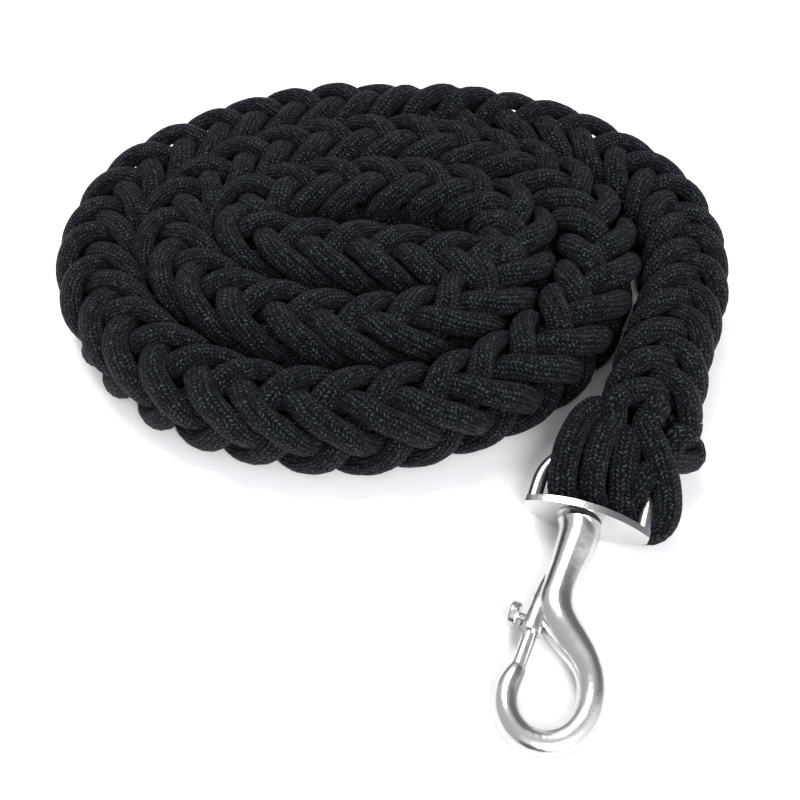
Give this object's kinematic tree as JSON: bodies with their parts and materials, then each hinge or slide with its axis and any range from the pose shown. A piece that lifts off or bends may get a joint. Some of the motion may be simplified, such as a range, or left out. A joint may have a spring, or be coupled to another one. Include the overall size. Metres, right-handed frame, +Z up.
{
  "type": "lead rope",
  "caption": "Thick black braided lead rope lying in a loose flat coil, with a nickel-plated swivel bolt snap at one end.",
  "frame": {"origin": "on the ground, under the middle of the whole part's box", "axes": "+Z up; the snap's hook points towards -Y, and the coil lies towards +Y and -X"},
  "size_m": [0.2556, 0.2817, 0.0285],
  "materials": {
    "cord_black": "braided synthetic cord sleeve, fine stitch, slight sheen",
    "nickel": "bright nickel plate over a smooth casting",
    "spring_steel": "drawn wire"
  },
  "bodies": {
    "root": {"rope_coil": "cord_black", "rope_lead": "cord_black", "cord_bight_1": "cord_black", "cord_bight_2": "cord_black", "cord_bight_3": "cord_black", "cord_bight_4": "cord_black"},
    "eye": {"swivel_eye": "nickel"},
    "hook": {"hook_body": "nickel", "plunger_spring": "spring_steel"},
    "bolt": {"plunger": "nickel", "thumb_knob": "nickel"}
  },
  "joints": [
    {"name": "eye_pivot", "type": "hinge", "parent": "root", "child": "eye", "pos_m": [0.09482, -0.04004, 0.0111], "axis": [-1, 0, 0], "range_deg": [0, 45], "deforming": ["cord_bight_1", "cord_bight_2", "cord_bight_3", "cord_bight_4"]},
    {"name": "hook_swivel", "type": "hinge", "parent": "eye", "child": "hook", "pos_m": [0.09073, -0.06393, 0.00935], "axis": [0.0785, 0.9942, 0.073], "continuous": true},
    {"name": "plunger_slide", "type": "slide", "parent": "hook", "child": "bolt", "axis": [0.1409, 0.9874, 0.0725], "range_m": [0, 0.0065], "stiffness_N_per_m": 300, "springref_m": -0.004, "deforming": ["plunger_spring"]}
  ]
}
